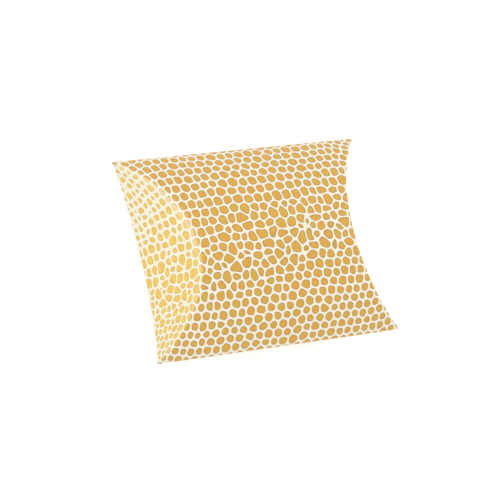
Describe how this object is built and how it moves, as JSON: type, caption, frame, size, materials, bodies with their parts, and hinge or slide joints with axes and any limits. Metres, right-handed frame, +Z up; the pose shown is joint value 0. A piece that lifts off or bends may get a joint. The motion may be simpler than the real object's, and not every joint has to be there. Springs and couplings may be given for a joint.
{
  "type": "favor box",
  "caption": "Pillow-shaped folding card box with arched panels, a glued side seam and hinged curved end flaps.",
  "frame": {"origin": "bottom centre of the box's outer size, under the middle of the back panel that it lies on", "axes": "+X along the straight folds from the left end to the right end, +Y across the box towards the plain side fold, +Z up towards the front panel"},
  "size_m": [0.09, 0.065, 0.025],
  "materials": {
    "printed_card": "satin coated card with an ochre-gold reptile-scale print",
    "printed_crease": "the same printed card, pressed along a fold",
    "plain_card": "uncoated white card",
    "glue": "dried adhesive film"
  },
  "bodies": {
    "sleeve": {"front_panel": "printed_card", "back_panel": "printed_card", "side_crease": "printed_crease", "seam_crease": "printed_crease", "glue_tab": "plain_card", "glue_line": "glue", "left_front_crease": "printed_crease", "left_back_crease": "printed_crease", "right_front_crease": "printed_crease", "right_back_crease": "printed_crease"},
    "left_outer_flap": {"left_outer_flap": "printed_card"},
    "left_inner_flap": {"left_inner_flap": "printed_card"},
    "right_outer_flap": {"right_outer_flap": "printed_card"},
    "right_inner_flap": {"right_inner_flap": "printed_card"}
  },
  "joints": [
    {"name": "left_outer_fold", "type": "hinge", "parent": "sleeve", "child": "left_outer_flap", "pos_m": [-0.02841, 0, 0.025], "axis": [0, 1, 0], "range_deg": [0, 75]},
    {"name": "left_inner_fold", "type": "hinge", "parent": "sleeve", "child": "left_inner_flap", "pos_m": [-0.02841, 0, 0], "axis": [0, -1, 0], "range_deg": [0, 36]},
    {"name": "right_outer_fold", "type": "hinge", "parent": "sleeve", "child": "right_outer_flap", "pos_m": [0.02841, 0, 0.025], "axis": [0, -1, 0], "range_deg": [0, 75]},
    {"name": "right_inner_fold", "type": "hinge", "parent": "sleeve", "child": "right_inner_flap", "pos_m": [0.02841, 0, 0], "axis": [0, 1, 0], "range_deg": [0, 36]}
  ],
  "couplings": [
    {"joint": "left_inner_fold", "follows": "left_outer_fold", "ratio": 0.48},
    {"joint": "right_inner_fold", "follows": "right_outer_fold", "ratio": 0.48}
  ]
}
